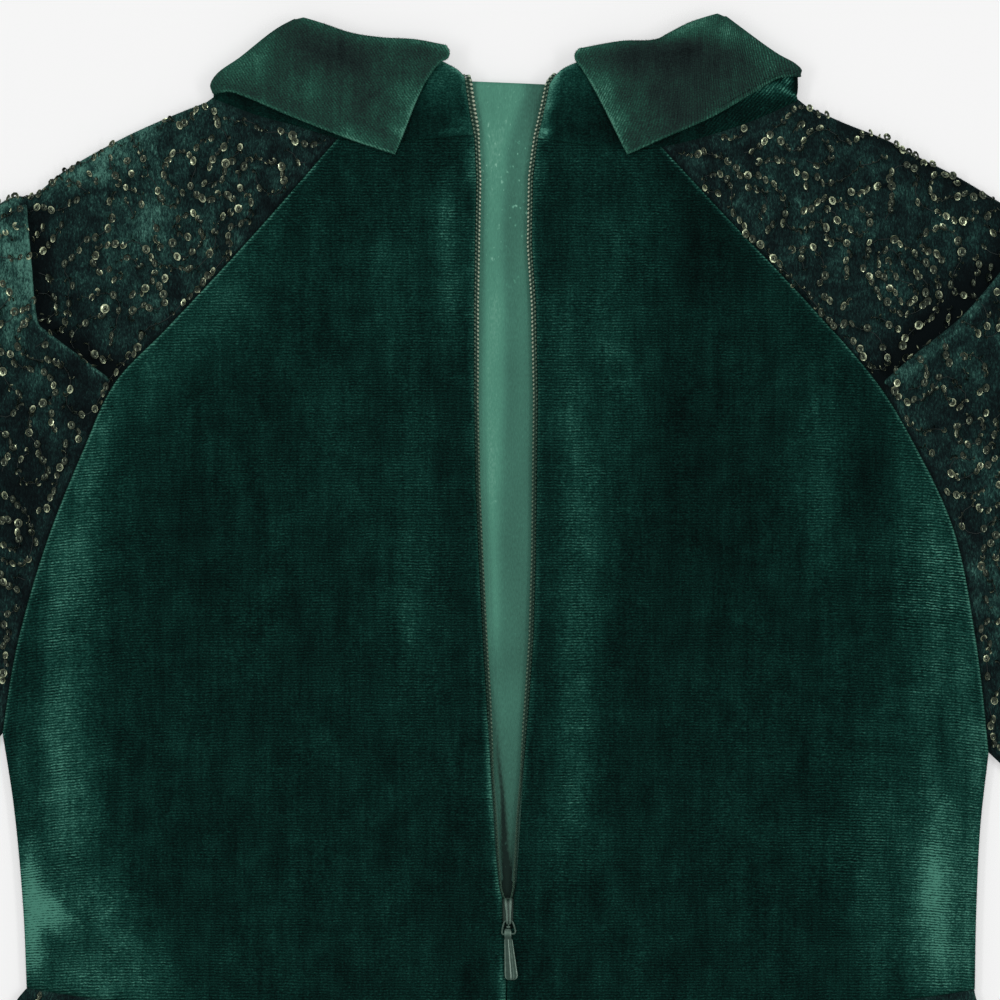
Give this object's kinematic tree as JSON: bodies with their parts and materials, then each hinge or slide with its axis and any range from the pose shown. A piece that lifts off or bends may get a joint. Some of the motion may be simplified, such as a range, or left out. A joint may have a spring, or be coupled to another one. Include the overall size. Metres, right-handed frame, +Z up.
{
  "type": "dress",
  "caption": "Long-sleeved velvet dress laid flat on its front, with sequined raglan sleeves and skirt, a split turn-down collar and an open back zip with a lifting pull tab",
  "frame": {"origin": "on the surface the dress lies on, under the middle of its box", "axes": "+X across the dress from its left to its right as seen, +Y from the hem towards the collar, +Z up from the surface"},
  "size_m": [1.01, 0.7874, 0.0084],
  "materials": {
    "velvet": "ribbed pile",
    "sequined_velvet": "pile with sewn sequins",
    "lining": "smooth knit",
    "zip_tape": "woven",
    "zip_metal": "satin"
  },
  "bodies": {
    "dress": {"bodice_back_left": "velvet", "bodice_back_right": "velvet", "bodice_front": "velvet", "collar_fall_left": "velvet", "collar_fall_right": "velvet", "collar_stand": "velvet", "lining_front": "lining", "skirt_back": "sequined_velvet", "skirt_front": "sequined_velvet", "sleeve_left": "sequined_velvet", "sleeve_right": "sequined_velvet", "zip_slider": "zip_metal", "zip_tape_left": "zip_tape", "zip_tape_right": "zip_tape"},
    "pull": {"zip_pull": "zip_metal"}
  },
  "joints": [
    {"name": "pull_hinge", "type": "hinge", "parent": "dress", "child": "pull", "pos_m": [0.0027, 0.06666, 0.0061], "axis": [-1, 0, 0], "range_deg": [0, 145]}
  ]
}
